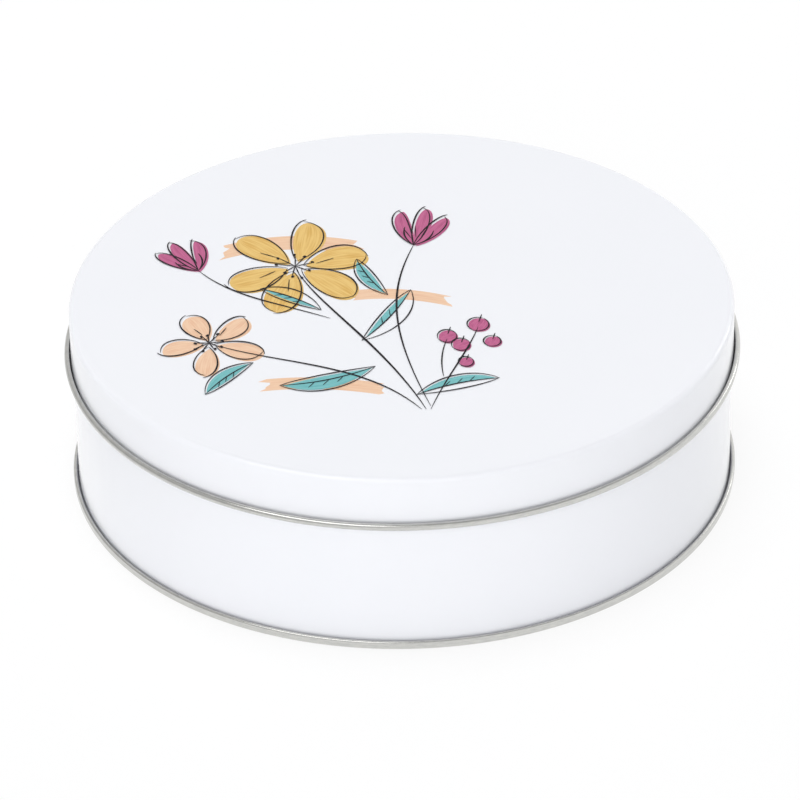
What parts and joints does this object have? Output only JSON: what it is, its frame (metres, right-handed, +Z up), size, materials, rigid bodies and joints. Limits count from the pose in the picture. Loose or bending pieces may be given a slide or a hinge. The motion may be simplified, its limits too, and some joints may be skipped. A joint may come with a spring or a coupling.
{
  "type": "powder tin",
  "caption": "Shallow round slip-lid tin in white lacquer with rolled bare-metal edges; the lid lifts off a hanging powder sifter and a satin-backed puff.",
  "frame": {"origin": "centre of the standing edge of the base, on the surface that the tin stands on", "axes": "+Z up along the tin's axis, -Y towards the front, the wall's side seam at +Y, the puff's ribbon along X"},
  "size_m": [0.1528, 0.1528, 0.044],
  "materials": {
    "white_lacquer": "gloss",
    "bare_tinplate": "satin",
    "seal_compound": "matte",
    "sifter_plastic": "satin",
    "puff_velour": "matte",
    "puff_satin": "satin",
    "ribbon_satin": "satin"
  },
  "bodies": {
    "tin": {"body_wall": "white_lacquer", "base_plate": "bare_tinplate", "seam_seal": "seal_compound"},
    "sifter": {"sifter_ring": "sifter_plastic", "sifter_plate": "sifter_plastic"},
    "puff": {"puff_pad": "puff_velour", "puff_back": "puff_satin", "puff_ribbon": "ribbon_satin"},
    "lid": {"lid": "white_lacquer"}
  },
  "joints": [
    {"name": "sifter_lift", "type": "slide", "parent": "tin", "child": "sifter", "axis": [0, 0, 1], "range_m": [0, 0.05]},
    {"name": "puff_lift", "type": "slide", "parent": "sifter", "child": "puff", "axis": [0, 0, 1], "range_m": [0, 0.04]},
    {"name": "lid_lift", "type": "slide", "parent": "puff", "child": "lid", "axis": [0, 0, 1], "range_m": [0, 0.06]}
  ]
}
